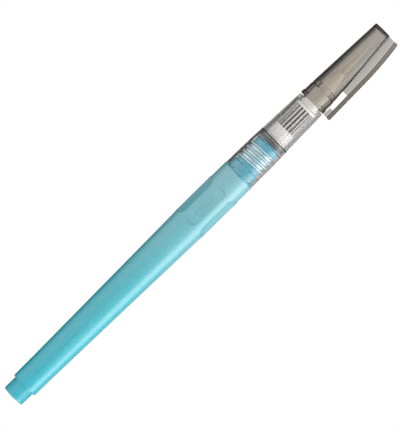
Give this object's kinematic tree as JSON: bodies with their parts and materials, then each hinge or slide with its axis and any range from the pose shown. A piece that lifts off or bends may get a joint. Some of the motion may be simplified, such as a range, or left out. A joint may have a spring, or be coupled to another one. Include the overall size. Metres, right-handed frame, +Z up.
{
  "type": "brush pen",
  "caption": "Squeeze-barrel brush pen with a screw-on clear front section, an inner wick, a bristle brush tip and a pull-off clip cap.",
  "frame": {"origin": "middle of the lying pen's bounding box, on the table under it", "axes": "+X along the pen from the tail to the cap, +Z up from the table; the clip leans to -Y and down, to the table"},
  "size_m": [0.16, 0.0128, 0.0116],
  "materials": {
    "teal_barrel": "translucent frosted teal polyethylene",
    "clear_plastic": "clear, glossy",
    "smoke_plastic": "smoky translucent, glossy",
    "dark_seal": "soft, satin",
    "black_ring": "satin black",
    "milky_plastic": "milky, satin",
    "wick_felt": "dense felt, matte",
    "relay_felt": "fibre rod, matte",
    "cream_plastic": "satin cream",
    "nylon_bristle": "fine nylon filaments"
  },
  "bodies": {
    "barrel": {"squeeze_barrel": "teal_barrel"},
    "seal_carrier": {"neck_seal": "dark_seal"},
    "front_section": {"threaded_collar": "clear_plastic", "seal_ring": "black_ring", "front_housing": "clear_plastic", "wick_cage": "milky_plastic", "wick": "wick_felt", "flow_plug": "milky_plastic", "relay_core": "relay_felt", "ferrule": "cream_plastic", "bristle_root": "nylon_bristle", "bristle_tuft": "nylon_bristle"},
    "cap": {"cap_shell": "smoke_plastic", "cap_clip": "smoke_plastic"}
  },
  "joints": [
    {"name": "front_travel", "type": "slide", "parent": "barrel", "child": "seal_carrier", "axis": [1, 0, 0], "range_m": [0, 0.0144]},
    {"name": "front_screw", "type": "hinge", "parent": "seal_carrier", "child": "front_section", "pos_m": [0.032, 0.00063, 0.00578], "axis": [1, 0, 0], "range_deg": [0, 2881]},
    {"name": "cap_pull", "type": "slide", "parent": "front_section", "child": "cap", "axis": [1, 0, 0], "range_m": [0, 0.035]}
  ],
  "couplings": [
    {"joint": "front_screw", "follows": "front_travel", "rad_per_m": 3490.7}
  ]
}
